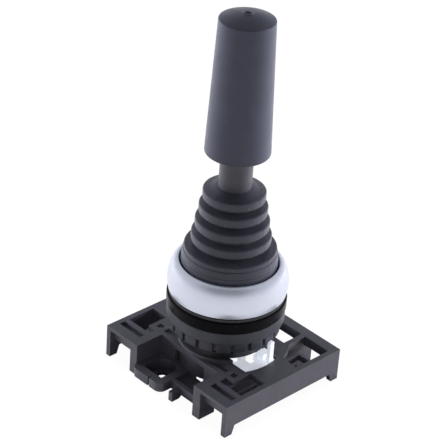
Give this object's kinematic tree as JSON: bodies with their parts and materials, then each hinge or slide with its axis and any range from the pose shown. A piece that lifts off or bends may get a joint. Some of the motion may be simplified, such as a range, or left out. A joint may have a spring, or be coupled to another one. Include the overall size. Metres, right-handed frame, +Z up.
{
  "type": "industrial joystick",
  "caption": "Panel joystick head: tapered grip, ribbed rubber boot, satin bezel, ring nut and clip-on base with a white lock ring; leans two ways and springs back.",
  "frame": {"origin": "on the stick's axis, level with the soles of the base's feet", "axes": "+Z up along the stick, +X along the base's front edge, +Y towards the rear; the screw tab is at the front, -Y"},
  "size_m": [0.0436, 0.0403, 0.0966],
  "materials": {
    "grip_plastic": "fine matt moulded black plastic",
    "shaft_plastic": "smooth dark grey plastic",
    "boot_rubber": "soft black rubber",
    "bezel_satin": "satin silver",
    "gasket_rubber": "black rubber",
    "housing_plastic": "black moulded plastic",
    "nut_plastic": "dark grey moulded plastic",
    "frame_plastic": "dark grey moulded plastic, fine grain",
    "white_plastic": "pale, slightly translucent plastic",
    "inner_plastic": "plain dark plastic",
    "steel": "drawn steel",
    "brass": "turned brass"
  },
  "bodies": {
    "housing": {"actuator_housing": "housing_plastic", "bezel_ring": "bezel_satin", "boot": "boot_rubber", "panel_gasket": "gasket_rubber", "ring_nut": "nut_plastic", "gate_plate": "inner_plastic", "plunger_guide": "inner_plastic", "return_spring": "steel", "base_frame": "frame_plastic", "plunger_spring_right": "steel", "plunger_spring_rear": "steel", "plunger_spring_left": "steel", "plunger_spring_front": "steel"},
    "gimbal": {"gimbal_ring": "inner_plastic", "gimbal_pins": "steel"},
    "stick": {"grip": "grip_plastic", "grip_bush": "brass", "stick_shaft": "shaft_plastic", "stick_pin": "steel", "rocker_plate": "inner_plastic", "rocker_clip": "steel"},
    "lock": {"lock_ring": "white_plastic"},
    "plunger_right": {"plunger_right": "white_plastic"},
    "plunger_rear": {"plunger_rear": "white_plastic"},
    "plunger_left": {"plunger_left": "white_plastic"},
    "plunger_front": {"plunger_front": "white_plastic"}
  },
  "joints": [
    {"name": "lean_front_rear", "type": "hinge", "parent": "housing", "child": "gimbal", "pos_m": [0, 0, 0.027], "axis": [1, 0, 0], "range_deg": [-12, 12], "stiffness_Nm_per_rad": 0.4, "deforming": ["return_spring"]},
    {"name": "lean_left_right", "type": "hinge", "parent": "gimbal", "child": "stick", "pos_m": [0, 0, 0.027], "axis": [0, 1, 0], "range_deg": [-12, 12], "stiffness_Nm_per_rad": 0.4, "deforming": ["boot"]},
    {"name": "press_right", "type": "slide", "parent": "housing", "child": "plunger_right", "axis": [0, 0, 1], "range_m": [-0.0015, 0.0015], "deforming": ["plunger_spring_right"]},
    {"name": "press_rear", "type": "slide", "parent": "housing", "child": "plunger_rear", "axis": [0, 0, 1], "range_m": [-0.0015, 0.0015], "deforming": ["plunger_spring_rear"]},
    {"name": "press_left", "type": "slide", "parent": "housing", "child": "plunger_left", "axis": [0, 0, 1], "range_m": [-0.0015, 0.0015], "deforming": ["plunger_spring_left"]},
    {"name": "press_front", "type": "slide", "parent": "housing", "child": "plunger_front", "axis": [0, 0, 1], "range_m": [-0.0015, 0.0015], "deforming": ["plunger_spring_front"]},
    {"name": "lock_turn", "type": "hinge", "parent": "housing", "child": "lock", "pos_m": [0, 0, 0.0065], "axis": [0, 0, 1], "range_deg": [-22, 0]}
  ],
  "couplings": [
    {"joint": "press_right", "follows": "lean_left_right", "m_per_rad": -0.0068},
    {"joint": "press_rear", "follows": "lean_front_rear", "m_per_rad": 0.0068},
    {"joint": "press_left", "follows": "lean_left_right", "m_per_rad": 0.0068},
    {"joint": "press_front", "follows": "lean_front_rear", "m_per_rad": -0.0068}
  ]
}
